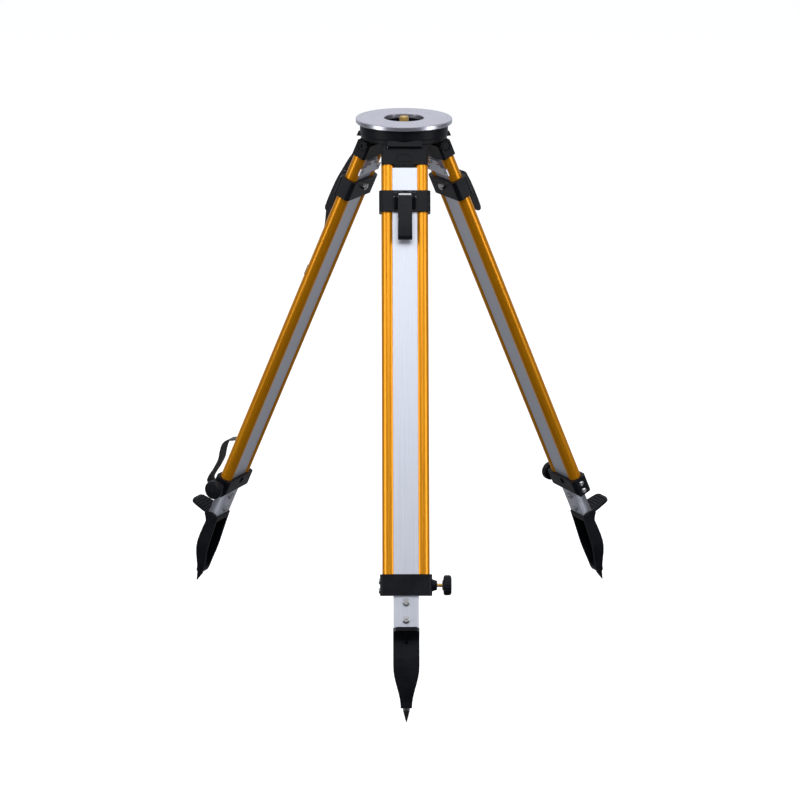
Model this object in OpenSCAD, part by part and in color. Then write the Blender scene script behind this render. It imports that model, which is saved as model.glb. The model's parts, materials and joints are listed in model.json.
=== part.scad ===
// Surveyor's tripod with a flat instrument head and three telescopic legs.
// Millimetres, +Z up. The origin is the centre of the head's top face.
// Each leg is drawn in its own axes, seen from the tripod's axis:
//   x runs across the leg, y points outward from it, z runs down the leg from its hinge.

/* [Head] */
// Diameter of the head plate
head_d = 160; // [156:1:164]
// Thickness of the head plate
head_t = 8; // [7:0.5:9]
// Diameter of the opening in the head plate
opening_d = 66; // [64:1:68]
// Diameter of the head casting's upper band
casting_d = 146; // [144:1:148]
// Depth of the head casting's lower edge below the top face
casting_bottom = 33; // [32.5:0.1:33]
// Radius of the fixing stud's 5/8 inch thread
stud_r = 7.94; // [7.9:0.01:7.98]
// Distance of the swing arm's pivot behind the tripod's axis
arm_pivot_y = 56; // [55:0.5:57]

/* [Legs] */
// Distance of each leg's hinge from the tripod's axis
hinge_r = 58.4; // [58:0.1:58.8]
// Depth of each leg's hinge below the head's top face
hinge_drop = 48; // [48:0.1:48.5]
// Angle between a leg and the vertical when the tripod stands
splay = 24.16; // [22:0.01:26]
// Distance from the hinge down the leg to the steel point
tip_s = 926.8; // [920:0.1:930]
// How far the steel point lies inward of the leg's centre line
tip_in = 12; // [11:0.5:13]

/* [Leg section] */
// Radius of the two outer tubes
tube_r = 11; // [10.8:0.1:11]
// Wall thickness of the outer tubes
tube_wall = 1.5; // [1.2:0.1:1.8]
// Distance of each tube's centre from the leg's centre line
tube_x = 27.25; // [27.2:0.01:27.4]
// Width of the sliding inner leg
inner_w = 42; // [41.8:0.1:42]
// Thickness of the sliding inner leg
inner_t = 18; // [17.8:0.1:18]
// Wall thickness of the sliding inner leg
inner_wall = 1.8; // [1.6:0.1:2]

/* [Stations down the leg] */
// Lower edge of the hinge bracket
bracket_end = 21; // [20.5:0.5:21]
// Upper edge of the sliding clamp collar
collar_top = 64.5; // [64:0.5:65]
// Lower edge of the sliding clamp collar
collar_end = 99.5; // [99:0.5:100]
// Upper edge of the lower collar
lower_top = 691; // [690:0.5:692]
// Lower edge of the lower collar
lower_end = 725; // [724:0.5:726]
// Upper edge of the foot
shoe_top = 777; // [776:0.5:778]

/* [Hidden] */
$fn = 48;
gap = 0.35;                       // sliding clearance between moving pieces
LEGS = ["front", "right", "left"];
LEG_PARTS = ["bracket", "tubes", "hinge_bolt", "lower_collar", "collar_screws", "clamp_pad",
             "clamp_screw", "clamp_knob", "inner_leg", "guide_plate", "slide_collar", "slide_bolts",
             "lever_pin", "lever", "shoe", "tip"];

orange = [0.86, 0.55, 0.14];
silver = [0.80, 0.82, 0.87];
black = [0.10, 0.10, 0.12];
steel = [0.62, 0.63, 0.66];
brass = [0.78, 0.62, 0.30];

plate_r = head_d / 2;
opening_r = opening_d / 2;
band_r = casting_d / 2;
skirt_r = band_r - 1.5;           // the casting steps in below its groove
deck_z = -15;                     // underside of the casting's deck
plate_screw_at = [60, 120, 210, 330];
plate_screw_ring = 50;
slide_slot = 20.4;                // width of the swing arm's slot
bolt_r = 5;                       // hinge bolt
running = 0.05;                   // radial running fit of pins in their bores
lug_r = 9;                        // barrel of each hinge lug
lug_half = 29;                    // half the width of a hinge lug
ear_in = 29.6;                    // inner face of the bracket's ears
half_w = tube_x + tube_r;         // half the width over both tubes
bracket_t = 12.5;                 // half the depth of the bracket
plate_t = 3;                      // bracket's inner and outer plates
collar_half = 42;                 // half the width of both collars
collar_t = 15;                    // half the depth of both collars
pin_s = 77;                       // clamp lever's pin, down the leg
pin_y = 20.6;                     // clamp lever's pin, outward
pin_r = 2.5;
lever_half = 11.5;
cheek_in = 12;
cheek_out = 17.5;
barrel_r = 9.4;
slot_half = 4.4;                  // lever's slot for the draw bolt's eye
clamp_s = 708.2;                   // side clamp's axis, down the leg
tang_top = 728;
shoe_wall = 3;
shoe_bolts = [736, 764];
guide_screws = [bracket_end + 11, bracket_end + 23];
guide_screw_r = 1.5;
side_screws = [702, 717];
guide_y = -(tube_r + gap);

// The carrying strap's centre line, as [outward, down the left leg], and its webbing
strap_x = -31.5;
strap_w = 25;
strap_half_t = 0.9;
strap_route = [[13.6, -1], [13.6, 8.5], [17, 13], [25, 18], [31, 28], [34, 44], [38, 62], [41.5, 84],
               [44, 108], [44.6, 128], [43.5, 150], [37, 172], [31, 193], [28, 215], [27, 240],
               [27.5, 264], [28, 280], [27, 296], [24, 320], [20.5, 360], [18.5, 410], [17.6, 470],
               [17.4, 540], [17.8, 590], [20, 618], [25, 638], [36, 650], [48, 659], [52.5, 670],
               [51.5, 684], [48, 700], [50, 722], [53, 742], [52, 751], [46, 753], [38, 747],
               [29, 733], [20, 717], [16.1, 708], [16.1, 697]];
anchor_x = strap_x + 3;
// Each end of the webbing is held at [outward, down, depth of its screw's shank]
anchors = [[bracket_t + 0.3, 3, 3.4], [collar_t + 0.3, lower_top + 11, 0.2]];

module at_leg(leg) {
    azimuth = leg == "front" ? -90 : leg == "right" ? 30 : 150;
    rotate([0, 0, azimuth + 90])
        translate([0, -hinge_r, -hinge_drop])
            rotate([180 - splay, 0, 0])
                children();
}

// A bar down the leg with rounded corners, centred on x and y
module bar(w, t, s0, s1, r) {
    translate([0, 0, s0])
        linear_extrude(s1 - s0)
            rounded(w, t, r);
}

module rounded(w, t, r) {
    square([w, t - 2 * r], center = true);
    square([w - 2 * r, t], center = true);
    for (x = [-1, 1])
        for (y = [-1, 1])
            translate([x * (w / 2 - r), y * (t / 2 - r)])
                circle(r);
}

// A side view drawn as [outward, down], given a width across the leg
module across(w, x = 0) {
    rotate([90, 0, 90])
        translate([0, 0, x - w / 2])
            linear_extrude(w)
                children();
}

// A front view drawn as [across, down], reaching from y0 out to y1
module outward(y0, y1) {
    rotate([90, 0, 0])
        translate([0, 0, -y1])
            linear_extrude(y1 - y0)
                children();
}

// Round bar across the leg, from x0 to x1
module cross_pin(r, x0, x1, y, s) {
    translate([x0, y, s])
        rotate([0, 90, 0])
            cylinder(r = r, h = x1 - x0);
}

// Round bar pointing outward, from y0 to y1
module out_pin(r, x, y0, y1, s) {
    translate([x, y1, s])
        rotate([90, 0, 0])
            cylinder(r = r, h = y1 - y0);
}

module pan_head(r, h) {
    rotate_extrude()
        polygon([[0, 0], [r, 0], [r, h * 0.45], [r * 0.85, h * 0.8], [r * 0.6, h], [0, h]]);
}

module cross_recess(r, depth) {
    for (a = [0, 90])
        rotate(a)
            translate([-r, -r * 0.22, 0])
                cube([2 * r, r * 0.44, depth]);
}

// The sliding inner leg's outline: a bar hollowed along both sides to nest on the tubes
module inner_outline(extra, nest) {
    difference() {
        square([inner_w + 2 * extra, inner_t + 2 * extra], center = true);
        for (x = [-1, 1])
            translate([x * tube_x, 0])
                circle(nest);
    }
}

// ---- Head

module head_plate() {
    color(silver)
        difference() {
            rotate_extrude($fn = 120)
                polygon([[opening_r, -head_t + 0.6], [opening_r, -1], [opening_r + 1, 0],
                         [plate_r - 1.2, 0], [plate_r, -1.2], [plate_r, -head_t + 1],
                         [plate_r - 1, -head_t], [opening_r + 0.6, -head_t]]);
            for (a = plate_screw_at)
                rotate(a)
                    translate([plate_screw_ring, 0, -head_t - 1])
                        cylinder(r = 2.5, h = 6);
            translate([0, arm_pivot_y, -head_t - 1])
                cylinder(r = 5, h = 5);
        }
}

module plate_screws() {
    color(steel)
        for (a = plate_screw_at)
            rotate(a)
                translate([plate_screw_ring, 0, deck_z]) {
                    cylinder(r = 2.4, h = 11);
                    rotate([180, 0, 0])
                        difference() {
                            pan_head(4.4, 0.7);
                            translate([0, 0, 0.35])
                                cross_recess(2.2, 1);
                        }
                }
}

module lug_neck() {
    // The neck leans inward so that the bracket can turn both ways about it
    lean = 17.5;
    translate([0, -hinge_r, -hinge_drop])
        rotate([-lean, 0, 0])
            translate([-lug_half + 1, -5, 0])
                cube([2 * lug_half - 2, 10, 17]);
    // Flat boss on the skirt above each bracket, sloping outward
    rotate([90, 0, 90])
        translate([0, 0, -28.6])
            linear_extrude(57.2)
                polygon([[-64, -24.8], [-70.5, -24.8], [-74.5, -33.3], [-64, -33.3]]);
    intersection() {
        translate([-lug_half + 2, -hinge_r - 12, -casting_bottom + 0.5])
            cube([2 * lug_half - 4, 21.5, casting_bottom + deck_z + 2]);
        translate([0, 0, -casting_bottom])
            cylinder(r = 69, h = casting_bottom, $fn = 120);
    }
}

module head_casting() {
    color(black)
        difference() {
            union() {
                rotate_extrude($fn = 120)
                    polygon([[36, -head_t], [band_r - 0.8, -head_t], [band_r, -head_t - 0.8],
                             [band_r, -24.4], [skirt_r, -25.6], [skirt_r, -casting_bottom + 1],
                             [skirt_r - 1, -casting_bottom], [66, -casting_bottom],
                             [65, -casting_bottom + 1], [65, deck_z], [36, deck_z]]);
                for (leg = [0 : 2])
                    rotate(leg * 120) {
                        lug_neck();
                        cross_pin(lug_r, -lug_half, lug_half, -hinge_r, -hinge_drop);
                    }
            }
            for (leg = [0 : 2])
                rotate(leg * 120)
                    cross_pin(bolt_r + running, -40, 40, -hinge_r, -hinge_drop);
            for (a = plate_screw_at)
                rotate(a)
                    translate([plate_screw_ring, 0, -20])
                        cylinder(r = 2.4, h = 13);
            translate([0, arm_pivot_y, -20])
                cylinder(r = 4.5, h = 13);
        }
}

module arm_pivot() {
    color(steel)
        translate([0, arm_pivot_y, 0]) {
            translate([0, 0, -24.2])
                cylinder(r = 4.5, h = 19.2);
            translate([0, 0, -27])
                cylinder(r = 6.5, h = 3, $fn = 6);
        }
}

module swing_arm() {
    arm_end = -34.5;
    color(black)
        difference() {
            union() {
                translate([0, arm_pivot_y, -22])
                    cylinder(r = 8.6, h = 6);
                translate([-13, arm_end, -22])
                    cube([26, arm_pivot_y - arm_end, 6]);
                translate([0, arm_end, -22])
                    cylinder(r = 13, h = 6);
            }
            translate([0, arm_pivot_y, -30])
                cylinder(r = 4.5 + running, h = 20);
            translate([-slide_slot / 2, -26, -30])
                cube([slide_slot, 52, 20]);
        }
}

module slide_bush() {
    neck_r = slide_slot / 2 - 0.4;
    color(steel)
        difference() {
            rotate_extrude()
                polygon([[5, -12.6], [13, -12.6], [13, -15.8], [neck_r, -15.8], [neck_r, -24.5],
                         [5, -24.5]]);
            translate([0, 0, -30])
                cylinder(r = stud_r + running, h = 20);
        }
}

module bush_spring() {
    // Three turns of wire that hold the stud down against the arm
    color(steel)
        for (turn = [0 : 3])
            translate([0, 0, -26.2 - turn * 2.6])
                rotate_extrude()
                    translate([10.2, 0])
                        circle(0.9, $fn = 24);
}

module fixing_stud() {
    // The free thread stands just proud of the head and ends at a relief groove
    nose = 2;
    color(brass)
        rotate_extrude()
            polygon([[0, nose], [6.2, nose], [stud_r, 0.4], [stud_r, -12.4], [stud_r - 1, -12.8],
                     [stud_r - 1, -13.4], [stud_r, -13.8], [stud_r, -52], [0, -52]]);
}

module screw_knob() {
    knob_r = 20.5;
    color(black)
        difference() {
            rotate_extrude($fn = 72)
                polygon([[0, -74], [knob_r - 4, -74], [knob_r, -71], [knob_r, -48], [knob_r - 3, -44],
                         [12, -40], [12, -37], [0, -37]]);
            for (k = [0 : 11])
                rotate(k * 30)
                    translate([knob_r + 1.2, 0, -76])
                        cylinder(r = 3, h = 40);
            translate([0, 0, -52])
                cylinder(r = stud_r, h = 20);
            translate([0, 0, -75])
                cylinder(r = 6, h = 9);
        }
}

// ---- Leg, upper part

module bracket(leg) {
    color(black)
        difference() {
            union() {
                bar(2 * half_w, 2 * bracket_t, -5.5, bracket_end, 4);
                bar(2 * half_w, 2 * (bracket_t - 3.2), -9.8, -5, 3);
                difference() {
                    bar(38, 2 * bracket_t - 1, bracket_end - 1, bracket_end + 2.6, 4);
                    for (x = [-1, 1])
                        translate([x * tube_x, 0, bracket_end])
                            cylinder(r = tube_r + running, h = 5, $fn = 72);
                }
                for (x = [-1, 1])
                    translate([x * tube_x, 0, bracket_end - 1])
                        cylinder(r = tube_r - tube_wall - running, h = 32, $fn = 72);
            }
            across(2 * ear_in) {
                circle(lug_r + 0.6);
                translate([-bracket_t + plate_t, -20])
                    square([2 * (bracket_t - plate_t), 20]);
                translate([bracket_t - plate_t - 1, -20])
                    square([10, 12.6]);
            }
            for (x = [-1, 1])
                cross_pin(8.2, x > 0 ? half_w - 4.6 : -half_w - 1, x > 0 ? half_w + 1 : -half_w + 4.6, 0, 0);
            cross_pin(bolt_r, -half_w, half_w, 0, 0);
            // A shallow frame pressed into the outer face
            outward(bracket_t - 0.7, bracket_t + 1)
                difference() {
                    translate([-13, 4.5])
                        square([26, 13]);
                    translate([-12, 5.5])
                        square([24, 11]);
                }
            if (leg == "left")
                out_pin(2, anchor_x, anchors[0][0] - 3.6, bracket_t + 1, anchors[0][1]);
        }
}

module hinge_bolt() {
    color(steel) {
        difference() {
            union() {
                cross_pin(bolt_r, -half_w + 0.6, half_w - 4.6, 0, 0);
                cross_pin(7.6, half_w - 4.6, half_w - 0.8, 0, 0);
            }
            translate([half_w - 3, 0, 0])
                rotate([0, 90, 0])
                    cylinder(r = 3.4, h = 4, $fn = 6);
        }
        difference() {
            translate([-half_w + 0.9, 0, 0])
                rotate([0, 90, 0])
                    cylinder(r = 7.9, h = 3.7, $fn = 6);
            cross_pin(bolt_r + running, -half_w, 0, 0, 0);
        }
    }
}

module tubes() {
    color(orange)
        for (x = [-1, 1])
            translate([x * tube_x, 0, bracket_end])
                difference() {
                    cylinder(r = tube_r, h = lower_end - 4 - bracket_end, $fn = 72);
                    translate([0, 0, -1])
                        cylinder(r = tube_r - tube_wall, h = lower_end, $fn = 72);
                }
}

// ---- Leg, lower collar and its side clamp

module lower_collar() {
    color(black)
        difference() {
            union() {
                bar(2 * collar_half, 2 * collar_t, lower_top, lower_end, 7);
                rotate([0, 90, 0])
                    translate([-clamp_s, 0, collar_half - 3])
                        cylinder(r1 = 11, r2 = 7.5, h = 11);
            }
            for (x = [-1, 1])
                translate([x * tube_x, 0, lower_top - 1])
                    cylinder(r = tube_r, h = lower_end - 4 - lower_top + 1, $fn = 72);
            translate([0, 0, lower_top - 1])
                linear_extrude(lower_end - lower_top + 2)
                    inner_outline(gap, tube_r - gap);
            // Bevel along the lower edge of the inward face
            across(2 * collar_half + 2)
                polygon([[-collar_t - 1, lower_end - 10], [-collar_t, lower_end - 8],
                         [-collar_t + 4.5, lower_end], [-collar_t + 4.5, lower_end + 1],
                         [-collar_t - 1, lower_end + 1]]);
            out_pin(6, -4, -collar_t - 1, -collar_t + 3, lower_top + 8);
            cross_pin(3, tube_x, collar_half + 12, 0, clamp_s);
            cross_pin(4.5, tube_x + 3, collar_half - 1, 0, clamp_s);
            for (s = side_screws)
                cross_pin(2, -collar_half - 1, -tube_x, 0, s);
        }
}

module collar_screws() {
    color(steel)
        for (s = side_screws)
            difference() {
                union() {
                    cross_pin(2, -collar_half, -half_w, 0, s);
                    translate([-collar_half, 0, s])
                        rotate([0, -90, 0])
                            pan_head(4.8, 2.2);
                }
                translate([-collar_half - 1.2, 0, s])
                    rotate([0, -90, 0])
                        cylinder(r = 2.2, h = 3, $fn = 6);
            }
}

module clamp_pad() {
    // Shoe that bears on the tube's side and squeezes it against the inner leg
    color(brass)
        difference() {
            cross_pin(4.3, tube_x + 7, half_w + 1.5, 0, clamp_s);
            translate([tube_x, 0, clamp_s - 10])
                cylinder(r = tube_r + 0.02, h = 20, $fn = 72);
        }
}

// The front leg's clamp stands unscrewed by this much, and the other two are tight
function clamp_out(leg) = leg == "front" ? 8 : 1;

module clamp_screw(leg) {
    color(brass)
        difference() {
            cross_pin(3 - running, half_w + 1.6, collar_half + 15 + clamp_out(leg), 0, clamp_s);
            for (k = [0 : 3])
                translate([collar_half + 9.5 + 1.6 * k, 0, clamp_s])
                    rotate([0, 90, 0])
                        rotate_extrude()
                            polygon([[2.5, 0.5], [3.2, 0], [3.2, 1]]);
        }
}

module clamp_knob(leg) {
    x0 = collar_half + 8.4 + clamp_out(leg);
    knob_r = 16.4;
    color(black)
        translate([x0, 0, clamp_s])
            rotate([0, 90, 0])
                difference() {
                    rotate_extrude($fn = 72)
                        polygon([[0, 0], [8, 0], [8.6, 1.5], [knob_r - 2, 2], [knob_r, 4],
                                 [knob_r, 12], [knob_r - 2.5, 14.6], [0, 15]]);
                    for (k = [0 : 17])
                        rotate(k * 20)
                            translate([knob_r + 0.9, 0, -1])
                                cylinder(r = 1.6, h = 18);
                    translate([0, 0, -1])
                        cylinder(r = 3 - running, h = 7.6);
                }
}

// ---- Leg, sliding part

module inner_leg() {
    color(silver)
        difference() {
            translate([0, 0, bracket_end + 5])
                linear_extrude(shoe_top - bracket_end - 5)
                    inner_outline(0, tube_r + gap);
            translate([0, 0, bracket_end])
                linear_extrude(shoe_top)
                    inner_outline(-inner_wall, tube_r + gap + inner_wall);
            for (s = shoe_bolts)
                out_pin(2.5, 0, -20, 20, s);
            out_pin(3, 0, -20, 20, pin_s);
            for (x = [-1, 1])
                out_pin(guide_screw_r, 10 * x, -inner_t, 0, guide_screws[0]);
        }
}

module guide_plate() {
    // Plate on the inner leg's top end whose wings ride on the backs of the tubes
    top = bracket_end + 6;
    color(black)
        difference() {
            outward(guide_y - 2.4, guide_y) {
                translate([-15, top])
                    square([30, 14]);
                translate([-33, top + 12])
                    square([66, 13]);
            }
            for (x = [-1, 1]) {
                out_pin(guide_screw_r + running, 10 * x, guide_y - 3, guide_y + 1, guide_screws[0]);
                out_pin(guide_screw_r + running, 27 * x, guide_y - 3, guide_y + 1, guide_screws[1]);
            }
        }
    color(black)
        outward(guide_y, -inner_t / 2)
            translate([-14, top + 1])
                difference() {
                    square([28, 22]);
                    for (x = [-1, 1])
                        translate([14 + 10 * x, guide_screws[0] - top - 1])
                            circle(guide_screw_r + running);
                }
}

module slide_collar() {
    color(black)
        difference() {
            union() {
                bar(2 * collar_half, 2 * collar_t, collar_top, collar_end, 7);
                for (x = [-1, 1])
                    across(cheek_out - cheek_in, x * (cheek_out + cheek_in) / 2) {
                        translate([pin_y, pin_s])
                            circle(7);
                        polygon([[collar_t - 1, collar_top + 1], [collar_t + 3, collar_top + 3],
                                 [pin_y + 5, pin_s - 5], [pin_y + 5, pin_s + 5],
                                 [collar_t + 3, collar_end - 5], [collar_t - 1, collar_end - 2]]);
                    }
            }
            translate([0, 0, collar_top - 1])
                linear_extrude(collar_end - collar_top + 2) {
                    square([inner_w, inner_t], center = true);
                    for (x = [-1, 1])
                        translate([x * tube_x, 0])
                            circle(tube_r + gap, $fn = 72);
                }
            across(2 * cheek_in, 0)
                translate([pin_y, pin_s])
                    circle(barrel_r + gap);
            cross_pin(pin_r, -cheek_out - 1, cheek_out + 1, pin_y, pin_s);
            out_pin(3, 0, -collar_t - 1, collar_t, pin_s);
        }
}

module hex_nut(r_flats, r_bore, h) {
    difference() {
        cylinder(r = r_flats, h = h, $fn = 6);
        translate([0, 0, -1])
            cylinder(r = r_bore + running, h = h + 2);
    }
}

module inward_at(x, y, s) {
    translate([x, y, s])
        rotate([90, 0, 0])
            children();
}

module guide_screw(x, s, length) {
    out_pin(guide_screw_r - running, x, guide_y - 2.5, guide_y - 2.4 + length, s);
    inward_at(x, guide_y - 2.4, s)
        difference() {
            pan_head(3.2, 1.8);
            translate([0, 0, 1])
                cross_recess(1.7, 1);
        }
}

module shoe_bolt(s) {
    out_pin(2.5 - running, 0, -inner_t / 2 - 6, inner_t / 2 + 0.2, s);
    translate([0, inner_t / 2, s])
        rotate([-90, 0, 0])
            difference() {
                pan_head(6.2, 3.4);
                translate([0, 0, 2])
                    cross_recess(3.2, 2);
            }
    inward_at(0, -inner_t / 2, s)
        hex_nut(6.2, 2.5, 4.4);
}

module slide_bolts() {
    color(steel) {
        // Bolt through the collar, whose eye the lever's cam pulls on, and its nut
        difference() {
            union() {
                out_pin(3 - running, 0, -collar_t - 6.5, pin_y - 3, pin_s);
                cross_pin(5.2, -4, 4, pin_y, pin_s);
            }
            cross_pin(pin_r + running, -5, 5, pin_y, pin_s);
        }
        inward_at(0, -collar_t, pin_s)
            hex_nut(6.4, 3, 5);
        for (s = shoe_bolts)
            shoe_bolt(s);
        for (x = [-1, 1]) {
            guide_screw(10 * x, guide_screws[0], 7);
            guide_screw(27 * x, guide_screws[1], 2);
        }
    }
}

module lever_pin() {
    color(steel)
        difference() {
            cross_pin(pin_r, -cheek_out - 0.6, cheek_out + 0.6, pin_y, pin_s);
            for (x = [-1, 1])
                translate([x * (cheek_out + 0.6), pin_y, pin_s])
                    rotate([0, 90, 0])
                        cylinder(r = 1.1, h = 1, center = true);
        }
}

module lever() {
    color(black)
        difference() {
            across(2 * lever_half) {
                translate([pin_y, pin_s])
                    circle(barrel_r);
                polygon([[pin_y, pin_s - barrel_r + 0.5], [pin_y + 7, pin_s - 6], [30, pin_s],
                         [31.6, pin_s + 14], [32.2, pin_s + 30], [32.4, pin_s + 50],
                         [31.8, pin_s + 66], [30, pin_s + 70.4], [27, pin_s + 71.6],
                         [23, pin_s + 70], [20.8, pin_s + 66], [20.4, pin_s + 56],
                         [21.4, pin_s + 36], [21, pin_s + 20], [19, pin_s + 8]]);
            }
            cross_pin(pin_r + running, -lever_half - 1, lever_half + 1, pin_y, pin_s);
            across(2 * slot_half)
                translate([pin_y - 12, pin_s - 12])
                    square([18, 24]);
            // Finger hollow behind the grip
            across(2 * lever_half - 5)
                polygon([[18, pin_s + 14], [27.5, pin_s + 16], [28.4, pin_s + 40],
                         [28, pin_s + 60], [18, pin_s + 62]]);
        }
}

// ---- Foot

function shoe_half(s) = s < 838 ? inner_w / 2 : 9 + 12 * (0.5 + 0.5 * cos((s - 838) / 67 * 180));

module shoe_front(inset) {
    steps = [for (k = [0 : 8]) 838 + 67 * k / 8];
    polygon(concat([[-inner_w / 2 + inset, shoe_top - 2]],
                   [for (s = steps) [-shoe_half(s) + inset, s]],
                   [for (k = [8 : -1 : 0]) [shoe_half(steps[k]) - inset, steps[k]]],
                   [[inner_w / 2 - inset, shoe_top - 2]]));
}

// Side view of the foot: nearly straight inward edge and a belly that curves to the point
shoe_side = [[-11, shoe_top], [15.8, shoe_top], [15.8, 785], [11, 791], [8, 797], [8.6, 812],
             [8.9, 826], [8.4, 840], [6.6, 855], [3.2, 870], [-1.4, 884], [-6, 896], [-7, 902],
             [-8, 905], [-16.5, 905], [-19.6, 901], [-20.6, 894], [-15.4, 840], [-12.4, 800]];

module shoe() {
    pedal_s = shoe_top + 1;
    color(black)
        difference() {
            union() {
                intersection() {
                    across(2 * inner_w)
                        polygon(shoe_side);
                    outward(-40, 40)
                        shoe_front(0);
                }
                // Foot pedal with grip ridges
                translate([0, 0, pedal_s])
                    linear_extrude(5)
                        polygon([[-21, 8], [21, 8], [20.4, 24], [17.5, 44], [14, 50], [10, 51.6],
                                 [-10, 51.6], [-14, 50], [-17.5, 44], [-20.4, 24]]);
                for (k = [0 : 4])
                    translate([-19 + 0.9 * k, 19 + 6.4 * k, pedal_s - 1.3])
                        cube([38 - 1.8 * k, 2.2, 2]);
                // Tang inside the inner leg
                translate([-13.5, -inner_t / 2 + inner_wall + 0.1, tang_top])
                    cube([27, inner_t - 2 * inner_wall - 0.2, shoe_top - tang_top + 4]);
                // Web under the pedal
                across(5)
                    polygon([[12, 782], [44, 782], [15, 800], [6, 804]]);
            }
            // The foot is open on its inward side
            intersection() {
                across(inner_w)
                    polygon([[-40, 788], [4.6, 788], [4.9, 797], [5.4, 812], [5.6, 826], [5, 840],
                             [3.2, 855], [-0.4, 868], [-5, 880], [-9.5, 888], [-40, 892]]);
                outward(-50, 50)
                    shoe_front(shoe_wall);
            }
            for (s = shoe_bolts)
                out_pin(2.5, 0, -20, 20, s);
            translate([0, -tip_in, 893])
                cylinder(r = 4, h = 20);
        }
}

module tip() {
    color(steel)
        translate([0, -tip_in, 0])
            rotate_extrude()
                polygon([[0, 893], [4, 893], [4, 905], [5.4, 905], [5.4, 909], [0.7, tip_s], [0, tip_s]]);
}

// ---- Carrying strap on the left leg

function unit(v) = v / norm(v);
function side_of(route, k) =
    let (a = route[max(k - 1, 0)], b = route[min(k + 1, len(route) - 1)], d = unit(b - a)) [d[1], -d[0]];
function band(route, half) =
    concat([for (k = [0 : len(route) - 1]) route[k] + half * side_of(route, k)],
           [for (k = [len(route) - 1 : -1 : 0]) route[k] - half * side_of(route, k)]);

module strap() {
    color(black)
        difference() {
            across(strap_w, strap_x)
                polygon(band(strap_route, strap_half_t));
            for (anchor = anchors)
                out_pin(2 + running, anchor_x, anchor[0] - 2, anchor[0] + 4, anchor[1]);
        }
}

module strap_buckle() {
    // Flat three-bar slide threaded on the webbing
    width = strap_w + 2;
    color(black)
        translate([strap_x, 0, 270])
            difference() {
                translate([-width / 2, 25.6, 0])
                    cube([width, 6.6, 20]);
                translate([-strap_w / 2 - 0.3, 26.3, -1])
                    cube([strap_w + 0.6, 3.1, 22]);
                for (s = [3, 11.5])
                    translate([-strap_w / 2 + 1.5, 28, s])
                        cube([strap_w - 3, 6, 5.5]);
            }
}

module strap_anchor(y, s, shank) {
    // Washer plate and screw that hold the webbing's end
    plate_y = y + 2 * strap_half_t;
    difference() {
        union() {
            translate([anchor_x - 7.5, plate_y, s - 5])
                cube([15, 1.4, 10]);
            out_pin(2, anchor_x, y - shank, plate_y + 1, s);
            translate([anchor_x, plate_y + 1.3, s])
                rotate([-90, 0, 0])
                    pan_head(4, 2);
        }
        translate([anchor_x, plate_y + 2.4, s])
            rotate([-90, 0, 0])
                cross_recess(2, 2);
    }
}

module strap_anchors() {
    color(steel)
        for (anchor = anchors)
            strap_anchor(anchor[0], anchor[1], anchor[2]);
}

module leg_part(leg, piece) {
    if (piece == "bracket") bracket(leg);
    if (piece == "tubes") tubes();
    if (piece == "hinge_bolt") hinge_bolt();
    if (piece == "lower_collar") lower_collar();
    if (piece == "collar_screws") collar_screws();
    if (piece == "clamp_pad") clamp_pad();
    if (piece == "clamp_screw") clamp_screw(leg);
    if (piece == "clamp_knob") clamp_knob(leg);
    if (piece == "inner_leg") inner_leg();
    if (piece == "guide_plate") guide_plate();
    if (piece == "slide_collar") slide_collar();
    if (piece == "slide_bolts") slide_bolts();
    if (piece == "lever_pin") lever_pin();
    if (piece == "lever") lever();
    if (piece == "shoe") shoe();
    if (piece == "tip") tip();
}

head_plate();
head_casting();
plate_screws();
arm_pivot();
swing_arm();
slide_bush();
bush_spring();
fixing_stud();
screw_knob();
at_leg("left") strap();
at_leg("left") strap_buckle();
at_leg("left") strap_anchors();
for (leg = LEGS)
    for (piece = LEG_PARTS)
        at_leg(leg)
                leg_part(leg, piece);
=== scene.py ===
"""Surveyor tripod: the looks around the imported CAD. Metres, +Z up, origin at the centre of the top face."""

import json
import math

import bmesh
import bpy
from mathutils import Matrix, Vector

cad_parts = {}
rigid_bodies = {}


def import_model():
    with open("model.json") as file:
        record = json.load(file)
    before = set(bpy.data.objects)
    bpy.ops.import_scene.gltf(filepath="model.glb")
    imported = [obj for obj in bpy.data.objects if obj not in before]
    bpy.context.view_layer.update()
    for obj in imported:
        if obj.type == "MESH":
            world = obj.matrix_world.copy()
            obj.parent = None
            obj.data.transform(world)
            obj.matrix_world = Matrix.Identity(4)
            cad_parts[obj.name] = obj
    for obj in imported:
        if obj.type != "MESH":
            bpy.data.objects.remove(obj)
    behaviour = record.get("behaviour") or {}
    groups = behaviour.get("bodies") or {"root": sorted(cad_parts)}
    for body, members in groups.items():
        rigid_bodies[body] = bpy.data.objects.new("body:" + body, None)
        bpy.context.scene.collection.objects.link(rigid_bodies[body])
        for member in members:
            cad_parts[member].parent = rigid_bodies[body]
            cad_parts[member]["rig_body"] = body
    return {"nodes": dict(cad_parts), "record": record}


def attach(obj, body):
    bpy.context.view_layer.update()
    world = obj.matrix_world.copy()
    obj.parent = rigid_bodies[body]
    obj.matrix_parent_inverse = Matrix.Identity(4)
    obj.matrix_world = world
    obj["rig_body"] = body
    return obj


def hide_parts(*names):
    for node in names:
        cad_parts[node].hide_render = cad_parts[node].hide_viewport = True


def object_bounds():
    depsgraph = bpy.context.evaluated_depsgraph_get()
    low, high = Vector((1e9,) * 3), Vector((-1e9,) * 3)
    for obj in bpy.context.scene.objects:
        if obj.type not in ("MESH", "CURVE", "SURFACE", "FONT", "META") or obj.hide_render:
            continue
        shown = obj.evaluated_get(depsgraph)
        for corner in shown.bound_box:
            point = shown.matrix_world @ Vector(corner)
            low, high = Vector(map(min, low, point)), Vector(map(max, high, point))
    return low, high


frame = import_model()
cad_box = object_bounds()
scene = bpy.context.scene
nodes = frame["nodes"]

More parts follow.
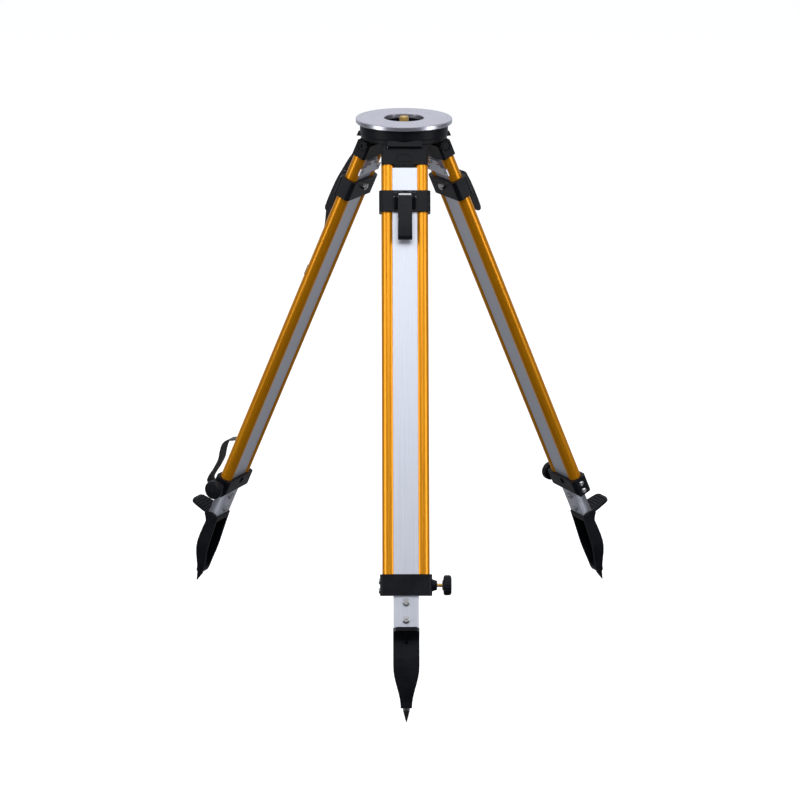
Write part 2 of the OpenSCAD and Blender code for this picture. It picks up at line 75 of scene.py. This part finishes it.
MM = 0.001
HINGE_R, HINGE_DROP = 58.4 * MM, 48 * MM
SPLAY = math.radians(24.16)
AZIMUTHS = {"front": -90.0, "right": 30.0, "left": 150.0}
FLOOR_Z = cad_box[0].z


def leg_matrix(leg):
    """The leg's own axes: x across, y outward, z down the leg from its hinge."""
    turn = Matrix.Rotation(math.radians(AZIMUTHS[leg] + 90), 4, "Z")
    hinge = Matrix.Translation((0, -HINGE_R, -HINGE_DROP))
    return turn @ hinge @ Matrix.Rotation(math.pi - SPLAY, 4, "X")


# ---- Camera, light and floor


CAMERA_AT = (-0.08563, -4.5634, 0.93151)
CAMERA_HEADING, CAMERA_PITCH, CAMERA_ROLL = 1.015, 17.30, 0.2264
CAMERA_LENS = 126.01


def make_camera():
    cam = bpy.data.objects.new("camera", bpy.data.cameras.new("camera"))
    scene.collection.objects.link(cam)
    heading, pitch, roll = (math.radians(a) for a in (CAMERA_HEADING, CAMERA_PITCH, CAMERA_ROLL))
    level = Vector((math.sin(heading), math.cos(heading), 0))
    forward = level * math.cos(pitch) - Vector((0, 0, math.sin(pitch)))
    right = Vector((math.cos(heading), -math.sin(heading), 0))
    up = right.cross(forward)
    x = right * math.cos(roll) + up * math.sin(roll)
    y = up * math.cos(roll) - right * math.sin(roll)
    place = Matrix((x, y, -forward)).transposed().to_4x4()
    place.translation = CAMERA_AT
    cam.matrix_world = place
    cam.data.lens = CAMERA_LENS
    cam.data.sensor_width = 36
    cam.data.clip_end = 100
    scene.camera = cam


def softbox(name, azimuth, elevation, distance, width, height, power, aim=(0, 0, -0.35)):
    """An area light that stands at that azimuth from the front and looks at the tripod."""
    data = bpy.data.lights.new(name, "AREA")
    data.shape = "RECTANGLE"
    data.size, data.size_y = width, height
    data.energy = power
    light = bpy.data.objects.new(name, data)
    a, e = math.radians(azimuth), math.radians(elevation)
    back = Vector((math.sin(a) * math.cos(e), -math.cos(a) * math.cos(e), math.sin(e)))
    light.location = Vector(aim) + back * distance
    light.rotation_mode = "QUATERNION"
    light.rotation_quaternion = (-back).to_track_quat("-Z", "Y")
    light.visible_camera = False
    scene.collection.objects.link(light)


def make_world():
    """White to the camera. Reflections see a bright back wall and dim sides and ground."""
    world = bpy.data.worlds.new("studio")
    scene.world = world
    world.use_nodes = True
    tree = world.node_tree
    tree.nodes.clear()
    out = tree.nodes.new("ShaderNodeOutputWorld")
    place = node(tree, "ShaderNodeTexCoord")
    axes = node(tree, "ShaderNodeSeparateXYZ", {"Vector": place.outputs["Generated"]})
    wall = ranged(tree, axes.outputs["Y"], 0.25, 0.95, 0.0, 0.46)
    sky = ranged(tree, axes.outputs["Z"], -0.25, 0.6, 0.06, 0.36)
    total = math_node(tree, "ADD", wall, sky)
    lit = node(tree, "ShaderNodeBackground", {"Color": (0.95, 0.97, 1.0, 1), "Strength": total})
    white = node(tree, "ShaderNodeBackground", {"Color": (1, 1, 1, 1), "Strength": 1.0})
    to_camera = node(tree, "ShaderNodeLightPath").outputs["Is Camera Ray"]
    mix = node(tree, "ShaderNodeMixShader", {0: to_camera, 1: lit.outputs[0], 2: white.outputs[0]})
    tree.links.new(mix.outputs[0], out.inputs[0])


def make_floor():
    """A wide pale floor that shows to the camera only, so that it throws no light up at the tripod."""
    half, below_feet = 40, 0.0005
    verts = [(-half, -half, 0), (half, -half, 0), (half, half, 0), (-half, half, 0)]
    floor = make_piece("floor", verts, [(0, 1, 2, 3)])
    floor.location = (0, 0, FLOOR_Z - below_feet)
    floor.visible_diffuse = False
    floor.visible_glossy = False
    floor.visible_transmission = False
    mat, tree, shader = material("floor_paper")
    mottle = node(tree, "ShaderNodeTexNoise", {"Vector": coords(tree), "Scale": 60.0, "Detail": 3.0})
    tint = ranged(tree, mottle.outputs["Fac"], 0.0, 1.0, 0.88, 0.90, smooth=False)
    shade = node(tree, "ShaderNodeCombineColor", {channel: tint for channel in range(3)})
    tree.links.new(shade.outputs[0], shader.inputs["Base Color"])
    shader.inputs["Roughness"].default_value = 0.95
    shader.inputs["Specular IOR Level"].default_value = 0.0
    shader.inputs["Emission Color"].default_value = (1, 1, 1, 1)
    shader.inputs["Emission Strength"].default_value = 0.62
    floor.data.materials.append(mat)


# ---- Building blocks


def make_piece(name, verts, faces, smooth=False):
    mesh = bpy.data.meshes.new(name)
    mesh.from_pydata([tuple(v) for v in verts], [], faces)
    mesh.update()
    if smooth:
        mesh.polygons.foreach_set("use_smooth", [True] * len(mesh.polygons))
    piece = bpy.data.objects.new(name, mesh)
    scene.collection.objects.link(piece)
    return piece


def node(tree, kind, inputs=None, **settings):
    made = tree.nodes.new(kind)
    for key, value in settings.items():
        setattr(made, key, value)
    for key, value in (inputs or {}).items():
        if isinstance(value, bpy.types.NodeSocket):
            tree.links.new(value, made.inputs[key])
        else:
            made.inputs[key].default_value = value
    return made


def math_node(tree, operation, a, b=0.0, clamp=False):
    made = node(tree, "ShaderNodeMath", {0: a, 1: b}, operation=operation)
    made.use_clamp = clamp
    return made.outputs[0]


def vector_math(tree, operation, a, b=(0, 0, 0)):
    return node(tree, "ShaderNodeVectorMath", {0: a, 1: b}, operation=operation)


def material(name):
    mat = bpy.data.materials.new(name)
    mat.use_nodes = True
    return mat, mat.node_tree, mat.node_tree.nodes["Principled BSDF"]


def coords(tree):
    return node(tree, "ShaderNodeTexCoord").outputs["Object"]


def leg_coords(tree, leg):
    """Object coordinates turned into the leg's own axes."""
    place = leg_matrix(leg)
    from_hinge = vector_math(tree, "SUBTRACT", coords(tree), place.translation).outputs[0]
    axes = [place.to_3x3().col[k] for k in range(3)]
    parts = [vector_math(tree, "DOT_PRODUCT", from_hinge, axis).outputs["Value"] for axis in axes]
    return node(tree, "ShaderNodeCombineXYZ", dict(enumerate(parts))).outputs[0]


def noise(tree, vector, scale, stretch=(1, 1, 1), detail=3.0, rough=0.55):
    scaled = vector_math(tree, "MULTIPLY", vector, stretch).outputs[0]
    look = {"Vector": scaled, "Scale": scale, "Detail": detail, "Roughness": rough}
    return node(tree, "ShaderNodeTexNoise", look).outputs["Fac"]


def ranged(tree, value, low_in, high_in, low, high, smooth=True):
    made = node(tree, "ShaderNodeMapRange", {"Value": value, 1: low_in, 2: high_in, 3: low, 4: high})
    if smooth:
        made.interpolation_type = "SMOOTHSTEP"
    return made.outputs[0]


def blend_colour(tree, factor, a, b):
    made = node(tree, "ShaderNodeMix", data_type="RGBA")
    for socket, value in ((made.inputs[0], factor), (made.inputs[6], a), (made.inputs[7], b)):
        if isinstance(value, bpy.types.NodeSocket):
            tree.links.new(value, socket)
        else:
            socket.default_value = value
    return made.outputs[2]


def bump(tree, height, strength, distance, normal=None):
    made = node(tree, "ShaderNodeBump", {"Height": height, "Strength": strength, "Distance": distance})
    if normal is not None:
        tree.links.new(normal, made.inputs["Normal"])
    return made.outputs[0]


def wire(tree, shader, colour, roughness, normal):
    for socket, value in (("Base Color", colour), ("Roughness", roughness), ("Normal", normal)):
        tree.links.new(value, shader.inputs[socket])


def soft_edges(tree, radius):
    """A normal that rounds the CAD's sharp edges, and a mask of where those edges are."""
    bevel = node(tree, "ShaderNodeBevel", {"Radius": radius}, samples=4)
    flat = node(tree, "ShaderNodeNewGeometry").outputs["Normal"]
    along = vector_math(tree, "DOT_PRODUCT", bevel.outputs[0], flat).outputs["Value"]
    return bevel.outputs[0], ranged(tree, along, 0.99, 0.80, 0.0, 1.0)


# ---- Materials, one for each finish


def metal(name, dark, light, wear, metallic, roughness, grain, groove, leg=None, edge=0.0004):
    """Drawn or brushed metal: long streaks in colour, roughness and height, with worn edges."""
    mat, tree, shader = material(name)
    place = leg_coords(tree, leg) if leg else coords(tree)
    streak = noise(tree, place, 1.0, grain, 5.0, 0.6)
    cloud = noise(tree, place, 18.0, (1, 1, 0.35), 2.0)
    nicks = noise(tree, place, 1.0, tuple(2.2 * g for g in grain), 1.0)
    tone = blend_colour(tree, ranged(tree, streak, 0.30, 0.70, 0, 1), dark, light)
    dull = tuple(0.82 * c for c in light[:3]) + (1,)
    tone = blend_colour(tree, ranged(tree, cloud, 0.35, 0.75, 0.0, 0.16), tone, dull)
    normal, edges = soft_edges(tree, edge)
    rub = math_node(tree, "MULTIPLY", edges, ranged(tree, cloud, 0.40, 0.62, 0.15, 1.0))
    tone = blend_colour(tree, math_node(tree, "MULTIPLY", rub, 0.45), tone, wear)
    scratch = ranged(tree, nicks, 0.70, 0.78, 0.0, 1.0)
    rough = ranged(tree, streak, 0.3, 0.7, roughness - 0.05, roughness + 0.06)
    rough = math_node(tree, "ADD", rough, math_node(tree, "MULTIPLY", scratch, 0.12))
    height = math_node(tree, "SUBTRACT", streak, math_node(tree, "MULTIPLY", scratch, 0.5))
    wire(tree, shader, tone, rough, bump(tree, height, groove, 0.0002, normal))
    shader.inputs["Metallic"].default_value = metallic
    return mat


def coated(name, base, light, wear, roughness, grain_scale, grain_height, edge, specular=0.14):
    """Powder coat or moulded plastic: fine skin texture, faint blotches and paler rubbed edges."""
    mat, tree, shader = material(name)
    place = coords(tree)
    skin = noise(tree, place, grain_scale, detail=2.0)
    blotch = noise(tree, place, 45.0, detail=4.0)
    scuff = noise(tree, place, 1.0, (420, 60, 260), 3.0, 0.7)
    tone = blend_colour(tree, ranged(tree, blotch, 0.3, 0.7, 0, 1), base, light)
    normal, edges = soft_edges(tree, edge)
    rub = math_node(tree, "MULTIPLY", edges, ranged(tree, blotch, 0.38, 0.62, 0.2, 1.0))
    tone = blend_colour(tree, math_node(tree, "MULTIPLY", rub, 0.55), tone, wear)
    scuffs = ranged(tree, scuff, 0.66, 0.80, 0.0, 1.0)
    rough = ranged(tree, blotch, 0.3, 0.7, roughness - 0.04, roughness + 0.05)
    rough = math_node(tree, "ADD", rough, math_node(tree, "MULTIPLY", scuffs, 0.10))
    wire(tree, shader, tone, rough, bump(tree, skin, grain_height, 0.00015, normal))
    shader.inputs["Specular IOR Level"].default_value = specular
    return mat


def turned_plate():
    """The head's machined top: fine concentric tool marks that catch the light."""
    mat, tree, shader = material("turned_aluminium")
    place = coords(tree)
    flat = vector_math(tree, "MULTIPLY", place, (1, 1, 0)).outputs[0]
    radius = vector_math(tree, "LENGTH", flat).outputs["Value"]
    ring = node(tree, "ShaderNodeCombineXYZ", {0: radius}).outputs[0]
    marks = noise(tree, ring, 1400.0, detail=4.0, rough=0.7)
    bands = noise(tree, ring, 160.0, detail=2.0)
    cloud = noise(tree, place, 22.0, detail=3.0)
    groove, ridge = (0.62, 0.63, 0.735, 1), (0.75, 0.76, 0.87, 1)
    dark_band, stain, painted_edge_highlight = (0.56, 0.57, 0.65, 1), (0.52, 0.52, 0.58, 1), (0.86, 0.87, 0.90, 1)
    tone = blend_colour(tree, ranged(tree, marks, 0.3, 0.7, 0, 1), groove, ridge)
    tone = blend_colour(tree, ranged(tree, bands, 0.35, 0.7, 0.0, 0.35), tone, dark_band)
    tone = blend_colour(tree, ranged(tree, cloud, 0.45, 0.75, 0.0, 0.2), tone, stain)
    normal, edges = soft_edges(tree, 0.0006)
    # Every edge of the plate is painted half way to a paler grey: a painted highlight along the chamfers.
    tone = blend_colour(tree, math_node(tree, "MULTIPLY", edges, 0.5), tone, painted_edge_highlight)
    rough = ranged(tree, marks, 0.3, 0.7, 0.24, 0.36)
    wire(tree, shader, tone, rough, bump(tree, marks, 0.35, 0.00008, normal))
    shader.inputs["Metallic"].default_value = 0.92
    return mat


def webbing():
    """Black polyester webbing: ribs along it crossed by the weft, from the strap's own lengths."""
    mat, tree, shader = material("webbing_weave")
    lengths = node(tree, "ShaderNodeUVMap", uv_map="UVMap").outputs[0]
    place = node(tree, "ShaderNodeSeparateXYZ", {0: lengths})
    across, along = place.outputs["X"], place.outputs["Y"]
    rib_pitch, weft_pitch = 1.7 * MM, 2.1 * MM

    def wave(value, pitch):
        return math_node(tree, "SINE", math_node(tree, "MULTIPLY", value, 2 * math.pi / pitch))

    rib = math_node(tree, "MULTIPLY", wave(across, rib_pitch), 0.55)
    skew = math_node(tree, "ADD", along, math_node(tree, "MULTIPLY", across, 0.9))
    weft = math_node(tree, "MULTIPLY", wave(skew, weft_pitch), 0.45)
    weave = math_node(tree, "ADD", rib, weft)
    fuzz = noise(tree, coords(tree), 2400.0, detail=2.0)
    fade = noise(tree, coords(tree), 30.0, detail=3.0)
    painted_weave_shade, thread, faded = (0.0035, 0.0036, 0.004, 1), (0.022, 0.022, 0.025, 1), (0.035, 0.035, 0.038, 1)
    # The weave's low parts are painted near black: painted shade between the threads.
    tone = blend_colour(tree, ranged(tree, weave, -0.8, 0.9, 0, 1), painted_weave_shade, thread)
    tone = blend_colour(tree, ranged(tree, fade, 0.45, 0.75, 0.0, 0.3), tone, faded)
    rough = ranged(tree, weave, -1, 1, 0.85, 0.62)
    height = math_node(tree, "ADD", weave, math_node(tree, "MULTIPLY", fuzz, 0.4))
    wire(tree, shader, tone, rough, bump(tree, height, 0.8, 0.00025))
    shader.inputs["Sheen Weight"].default_value = 0.25
    shader.inputs["Sheen Roughness"].default_value = 0.45
    shader.inputs["Specular IOR Level"].default_value = 0.3
    return mat


def pale_print():
    """Pale paint with fine chips, for the bar on each clamp lever."""
    mat, tree, shader = material("pale_print")
    chips = noise(tree, coords(tree), 900.0, detail=4.0)
    chipped, whole = (0.62, 0.64, 0.68, 1), (0.85, 0.87, 0.90, 1)
    tone = blend_colour(tree, ranged(tree, chips, 0.3, 0.7, 0, 1), chipped, whole)
    rough = ranged(tree, chips, 0.3, 0.7, 0.35, 0.5)
    wire(tree, shader, tone, rough, bump(tree, chips, 0.2, 0.0001))
    return mat


# Each finish: name, dark or base colour, light colour, colour of worn edges, then its own measures
FINISHES = {
    "head_aluminium": turned_plate(),
    "black_casting": coated(
        "powder_coat",
        (0.0055, 0.006, 0.009, 1),
        (0.009, 0.010, 0.014, 1),
        (0.07, 0.075, 0.09, 1),
        roughness=0.42,
        grain_scale=1500.0,
        grain_height=0.35,
        edge=0.0009,
    ),
    "black_plastic": coated(
        "moulded_nylon",
        (0.0055, 0.0062, 0.0095, 1),
        (0.009, 0.0102, 0.015, 1),
        (0.05, 0.055, 0.07, 1),
        roughness=0.36,
        grain_scale=2300.0,
        grain_height=0.22,
        edge=0.0008,
    ),
    "thread": coated(
        "sewing_thread",
        (0.03, 0.03, 0.033, 1),
        (0.06, 0.06, 0.066, 1),
        (0.1, 0.1, 0.1, 1),
        roughness=0.55,
        grain_scale=3000.0,
        grain_height=0.5,
        edge=0.0001,
    ),
    "steel": metal(
        "zinc_steel",
        (0.55, 0.55, 0.57, 1),
        (0.70, 0.70, 0.72, 1),
        (0.82, 0.82, 0.84, 1),
        metallic=1.0,
        roughness=0.30,
        grain=(700, 700, 700),
        groove=0.10,
        edge=0.0003,
    ),
    "dark_steel": metal(
        "blackened_steel",
        (0.045, 0.045, 0.05, 1),
        (0.085, 0.085, 0.09, 1),
        (0.32, 0.32, 0.33, 1),
        metallic=1.0,
        roughness=0.34,
        grain=(600, 600, 600),
        groove=0.15,
        edge=0.0003,
    ),
    "brass": metal(
        "brass",
        (0.56, 0.36, 0.11, 1),
        (0.78, 0.56, 0.22, 1),
        (0.90, 0.72, 0.40, 1),
        metallic=1.0,
        roughness=0.30,
        grain=(500, 500, 500),
        groove=0.12,
        edge=0.0003,
    ),
    "webbing": webbing(),
    "print": pale_print(),
}
# The tubes' and the inner legs' streaks run along their own leg
LEG_FINISHES = {}
for leg_name in AZIMUTHS:
    LEG_FINISHES[leg_name, "orange_tube"] = metal(
        "orange_anodised_" + leg_name,
        (0.78, 0.275, 0.002, 1),
        (0.94, 0.385, 0.003, 1),
        (0.92, 0.50, 0.08, 1),
        metallic=0.55,
        roughness=0.30,
        grain=(1500, 1500, 9),
        groove=0.10,
        leg=leg_name,
    )
    LEG_FINISHES[leg_name, "silver_extrusion"] = metal(
        "drawn_aluminium_" + leg_name,
        (0.66, 0.69, 0.79, 1),
        (0.77, 0.80, 0.90, 1),
        (0.92, 0.93, 0.96, 1),
        metallic=0.75,
        roughness=0.45,
        grain=(1300, 1300, 7),
        groove=0.16,
        leg=leg_name,
    )


def finish_for(node_name, slot_name):
    leg = next((name for name in AZIMUTHS if node_name.startswith(name + "_")), None)
    return LEG_FINISHES.get((leg, slot_name)) or FINISHES[slot_name]


# Nodes whose look differs from their slot: the hinge bolts are painted over and the points are blackened
REFINISHED = {"hinge_bolt": "black_casting", "tip": "dark_steel"}


def dress_cad():
    for row in frame["record"]["subparts"]:
        shown = nodes[row["node"]]
        shown.data.materials.clear()
        finish = REFINISHED.get(row["node"].split("_", 1)[-1]) or row["material_slot"]
        shown.data.materials.append(finish_for(row["node"], finish))
        shown.data.polygons.foreach_set("material_index", [0] * len(shown.data.polygons))


# ---- Pieces with detail that the CAD solids leave out


def closed_grid(rows, columns, point):
    """A tube of rings closed at both ends. point(row, column) gives each vertex."""
    verts = [point(r, c) for r in range(rows) for c in range(columns)]
    faces = []
    for r in range(rows - 1):
        here, below = r * columns, (r + 1) * columns
        for c in range(columns):
            beside = (c + 1) % columns
            faces.append((here + c, here + beside, below + beside, below + c))
    faces.append(tuple(reversed(range(columns))))
    faces.append(tuple((rows - 1) * columns + c for c in range(columns)))
    return verts, faces


def outward_faces(piece):
    """Turn every face of the piece's mesh to face out."""
    mesh = bmesh.new()
    mesh.from_mesh(piece.data)
    bmesh.ops.recalc_face_normals(mesh, faces=mesh.faces)
    mesh.to_mesh(piece.data)
    mesh.free()
    return piece


def threaded_stud():
    """The 5/8 inch fixing stud with its 11 threads to the inch cut as one helix."""
    crest, pitch, depth = 7.94, 25.4 / 11, 1.25
    nose_r, nose_h = 6.2, 1.6
    top, bottom, columns, per_turn = 2.0, -52.0, 48, 10
    rows = int((top - bottom) / pitch * per_turn) + 1

    def point(r, c):
        z = top - (top - bottom) * r / (rows - 1)
        phase = (z / pitch - c / columns) % 1.0
        flank = min(1.0, max(0.0, 1.25 * abs(2 * phase - 1) - 0.12))
        nose = nose_r + (top - z) * (crest - nose_r) / nose_h if z > top - nose_h else crest
        radius = min(crest - depth * flank, nose)
        angle = 2 * math.pi * c / columns
        return Vector((radius * math.cos(angle), radius * math.sin(angle), z)) * MM

    stud = outward_faces(make_piece("stud_thread", *closed_grid(rows, columns, point), smooth=True))
    stud.data.materials.append(FINISHES["brass"])
    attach(stud, nodes["fixing_stud"]["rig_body"])
    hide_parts("fixing_stud")


def coil_spring():
    """The bush's spring as one wire wound 3.6 turns, with its end turns lying flat."""
    mean, wire_r, top, bottom, turns = 10.2, 0.9, -26.2, -34.0, 3.6
    rows, columns, flat_share = int(turns * 40), 12, 0.3

    def point(r, c):
        share = r / (rows - 1)
        rise = min(1.0, max(0.0, (share * turns - flat_share) / (turns - 2 * flat_share)))
        angle, round_wire = 2 * math.pi * share * turns, 2 * math.pi * c / columns
        reach = mean + wire_r * math.cos(round_wire)
        z = top + (bottom - top) * rise + wire_r * math.sin(round_wire)
        return Vector((reach * math.cos(angle), reach * math.sin(angle), z)) * MM

    spring = outward_faces(make_piece("spring_coil", *closed_grid(rows, columns, point), smooth=True))
    spring.data.materials.append(FINISHES["steel"])
    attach(spring, nodes["bush_spring"]["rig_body"])
    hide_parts("bush_spring")


# The strap's line on the left leg, [outward, down] in millimetres
STRAP_X, STRAP_W = -31.5, 25.0
STRAP_ROUTE = [
    (13.6, -1), (13.6, 8.5), (17, 13), (25, 18), (31, 28), (34, 44), (38, 62), (41.5, 84),
    (44, 108), (44.6, 128), (43.5, 150), (37, 172), (31, 193), (28, 215), (27, 240),
    (27.5, 264), (28, 280), (27, 296), (24, 320), (20.5, 360), (18.5, 410), (17.6, 470),
    (17.4, 540), (17.8, 590), (20, 618), (25, 638), (36, 650), (48, 659), (52.5, 670),
    (51.5, 684), (48, 700), (50, 722), (53, 742), (52, 751), (46, 753), (38, 747),
    (29, 733), (20, 717), (16.1, 708), (16.1, 697),
]  # fmt: skip


def smooth_line(points, spacing):
    """Points evenly spaced along a centripetal Catmull-Rom curve through points."""
    ends = [points[0] * 2 - points[1], *points, points[-1] * 2 - points[-2]]
    fine = []
    for k in range(1, len(ends) - 2):
        p0, p1, p2, p3 = ends[k - 1 : k + 3]
        t1 = (p1 - p0).length ** 0.5
        t2 = t1 + (p2 - p1).length ** 0.5
        t3 = t2 + (p3 - p2).length ** 0.5
        for j in range(24):
            t = t1 + (t2 - t1) * j / 24
            a1 = p0 * ((t1 - t) / t1) + p1 * (t / t1)
            a2 = p1 * ((t2 - t) / (t2 - t1)) + p2 * ((t - t1) / (t2 - t1))
            a3 = p2 * ((t3 - t) / (t3 - t2)) + p3 * ((t - t2) / (t3 - t2))
            b1 = a1 * ((t2 - t) / t2) + a2 * (t / t2)
            b2 = a2 * ((t3 - t) / (t3 - t1)) + a3 * ((t - t1) / (t3 - t1))
            fine.append(b1 * ((t2 - t) / (t2 - t1)) + b2 * ((t - t1) / (t2 - t1)))
    fine.append(points[-1])
    lengths = [0.0]
    for a, b in zip(fine, fine[1:]):
        lengths.append(lengths[-1] + (b - a).length)
    count = int(lengths[-1] / spacing)
    line, k = [], 0
    for j in range(count + 1):
        goal = lengths[-1] * j / count
        while k < len(fine) - 2 and lengths[k + 1] < goal:
            k += 1
        share = (goal - lengths[k]) / (lengths[k + 1] - lengths[k])
        line.append(fine[k].lerp(fine[k + 1], share))
    return line, lengths[-1]


def strap_sides(line):
    """The unit direction out of the webbing's outer face at each point of line."""
    sides = []
    for k in range(len(line)):
        way = (line[min(k + 1, len(line) - 1)] - line[max(k - 1, 0)]).normalized()
        sides.append(Vector((way.y, -way.x)))
    return sides


def make_strap():
    line, length = smooth_line([Vector(p) for p in STRAP_ROUTE], 3.0)
    sides = strap_sides(line)
    # Half the section, from one selvedge to the other: [across, half thickness]
    section = [(-12.5, 0.0), (-12.3, 0.45), (-11.6, 0.82), (-10.2, 0.70), (-9.0, 0.84), (0.0, 0.88)]
    section += [(-x, t) for x, t in reversed(section[:-1])]
    ring = section + [(x, -t) for x, t in reversed(section[1:-1])]

    def point(r, c):
        across, out = ring[c]
        cup = 0.25 * math.sin(r * 0.37) * (across / 12.5) ** 2
        at = line[r] + sides[r] * (out + cup if 2 < r < len(line) - 3 else out)
        return Vector((STRAP_X + across, at.x, at.y)) * MM

    verts, faces = closed_grid(len(line), len(ring), point)
    strap = make_piece("strap_webbing", verts, faces, smooth=True)
    layer = strap.data.uv_layers.new(name="UVMap")
    step = length / (len(line) - 1)
    for face in strap.data.polygons:
        for corner in face.loop_indices:
            vertex = strap.data.loops[corner].vertex_index
            r, c = divmod(vertex, len(ring))
            layer.data[corner].uv = ((ring[c][0] + 12.5) * MM, r * step * MM)
    strap.data.transform(leg_matrix("left"))
    outward_faces(strap)
    strap.data.materials.append(FINISHES["webbing"])
    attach(strap, nodes["strap"]["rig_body"])
    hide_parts("strap")
    stitches = strap_stitches(line, sides, step)
    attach(stitches, nodes["strap"]["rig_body"])


def strap_stitches(line, sides, step):
    """Short raised stitches: a box with a cross sewn near each end of the strap."""
    verts, faces = [], []
    half_thread, stitch_pitch = 0.3, 3.2

    def at(down):
        k = min(max(down / step, 0), len(line) - 1.001)
        low = int(k)
        spot = line[low].lerp(line[low + 1], k - low)
        side = sides[low].lerp(sides[low + 1], k - low).normalized()
        return spot, side

    def vertex(across, spot):
        verts.append(Vector((STRAP_X + across, spot.x, spot.y)) * MM)

    def stitch(a, b):
        """One thread from a to b, each (across, down), arched over the face."""
        start = len(verts)
        slant = Vector((b[1] - a[1], a[0] - b[0])).normalized() * half_thread
        for share, lift in ((0.0, 0.0), (0.2, 0.3), (0.8, 0.3), (1.0, 0.0)):
            across, down = (a[k] + (b[k] - a[k]) * share for k in (0, 1))
            for sign in (-1, 1):
                spot, side = at(down + sign * slant.y)
                vertex(across + sign * slant.x, spot + side * 0.8)
            spot, side = at(down)
            vertex(across, spot + side * (0.85 + lift))
        for i in (start, start + 3, start + 6):
            faces.extend([(i, i + 3, i + 5, i + 2), (i + 2, i + 5, i + 4, i + 1), (i + 1, i + 4, i + 3, i)])
        faces.extend([(start, start + 2, start + 1), (start + 9, start + 10, start + 11)])

    def seam(a, b):
        length = math.hypot(b[0] - a[0], b[1] - a[1])
        count = max(1, round(length / stitch_pitch))
        for k in range(count):
            first, last = (k + 0.1) / count, (k + 0.85) / count
            stitch(*(tuple(a[i] + (b[i] - a[i]) * share for i in (0, 1)) for share in (first, last)))

    total = step * (len(line) - 1)
    for top, bottom in ((24, 44), (total - 52, total - 32)):
        corners = [(-10, top), (10, top), (10, bottom), (-10, bottom)]
        for k in range(4):
            seam(corners[k], corners[(k + 1) % 4])
        seam(corners[0], corners[2])
        seam(corners[1], corners[3])
    stitches = make_piece("strap_stitches", verts, faces, smooth=True)
    stitches.data.transform(leg_matrix("left"))
    outward_faces(stitches)
    stitches.data.materials.append(FINISHES["thread"])
    return stitches


def name_bars():
    """A plain pale bar printed across each clamp lever's barrel."""
    half_w, half_h, lift, corner = 10.4, 1.7, 0.22, 0.8
    pin, barrel_r, tilt = Vector((20.6, 77)), 9.4, math.radians(20)
    # Rings from the barrel up to the bar's face: share of the width, share of the height, rise
    rings = ((1.0, 1.0, -0.1), (1.0, 1.0, lift * 0.6), (0.985, 0.93, lift))
    outline = []
    for cx, cy, start in ((1, 1, 0), (-1, 1, 90), (-1, -1, 180), (1, -1, 270)):
        for k in range(5):
            a = math.radians(start + 22.5 * k)
            x, y = cx * (half_w - corner), cy * (half_h - corner)
            outline.append((x + corner * math.cos(a), y + corner * math.sin(a)))

    def point(r, c):
        wide, high, rise = rings[r]
        angle = tilt - outline[c][1] * high / barrel_r
        at = pin + Vector((math.cos(angle), -math.sin(angle))) * (barrel_r + rise)
        return Vector((outline[c][0] * wide, at.x, at.y)) * MM

    for leg in AZIMUTHS:
        bar = make_piece(f"{leg}_lever_bar", *closed_grid(len(rings), len(outline), point))
        bar.data.transform(leg_matrix(leg))
        outward_faces(bar)
        bar.data.materials.append(FINISHES["print"])
        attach(bar, nodes[leg + "_lever"]["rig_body"])


make_camera()
make_world()
make_floor()
# Azimuth and elevation in degrees, distance, width and height in metres, power in watts
softbox("left_box", -64, 8, 2.6, 1.0, 2.2, 22)
softbox("right_box", 64, 8, 2.6, 1.0, 2.2, 22)
softbox("front_box", 0, 46, 4.2, 3.4, 2.0, 58)
softbox("top_box", 180, 70, 3.0, 2.5, 2.5, 20)
dress_cad()
threaded_stud()
coil_spring()
make_strap()
name_bars()
scene.view_settings.view_transform = "Standard"
scene.view_settings.look = "None"
